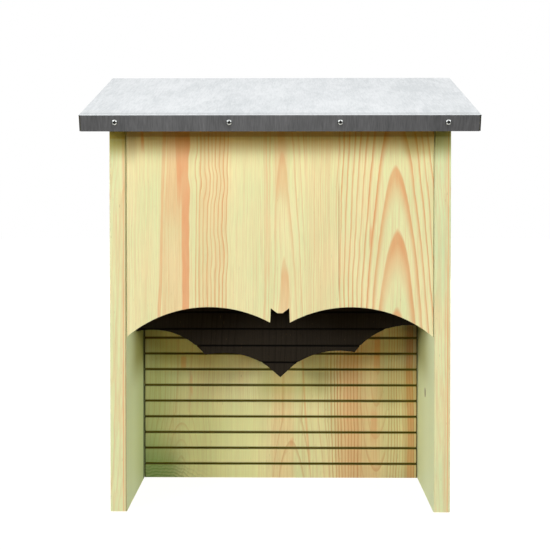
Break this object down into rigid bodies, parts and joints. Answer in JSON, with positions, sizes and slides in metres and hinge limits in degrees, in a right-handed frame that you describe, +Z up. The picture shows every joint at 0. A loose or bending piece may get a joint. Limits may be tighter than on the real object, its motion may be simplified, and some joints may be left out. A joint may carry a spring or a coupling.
{
  "type": "bat box",
  "caption": "Two-chamber wooden roost box for a wall: open below, grooved back board, bat-shaped lower edges on its panels, sheet-metal roof sloping to the front.",
  "frame": {"origin": "on the ground under the middle of the whole box", "axes": "+Z up, +Y towards the wall, +X to the right of someone facing the open front"},
  "size_m": [0.3734, 0.1947, 0.4365],
  "materials": {
    "pine": "planed, pressure treated, slightly green",
    "stained_pine": "black stain, matt",
    "galvanised_sheet": "galvanised, mottled satin",
    "zinc_screw": "bright zinc",
    "plate_steel": "zinc plated"
  },
  "bodies": {
    "root": {"left_side": "pine", "right_side": "pine", "front_panel": "pine", "back_panel": "pine", "roof_board": "pine", "middle_panel": "stained_pine", "roof_sheet": "galvanised_sheet", "left_hanger_plate": "plate_steel", "right_hanger_plate": "plate_steel", "front_panel_screws": "zinc_screw", "middle_panel_screws": "zinc_screw", "back_panel_screws": "zinc_screw", "roof_board_screws": "zinc_screw", "lip_screws_front": "zinc_screw", "lip_screws_side": "zinc_screw", "hanger_plate_screws": "zinc_screw"}
  },
  "joints": []
}
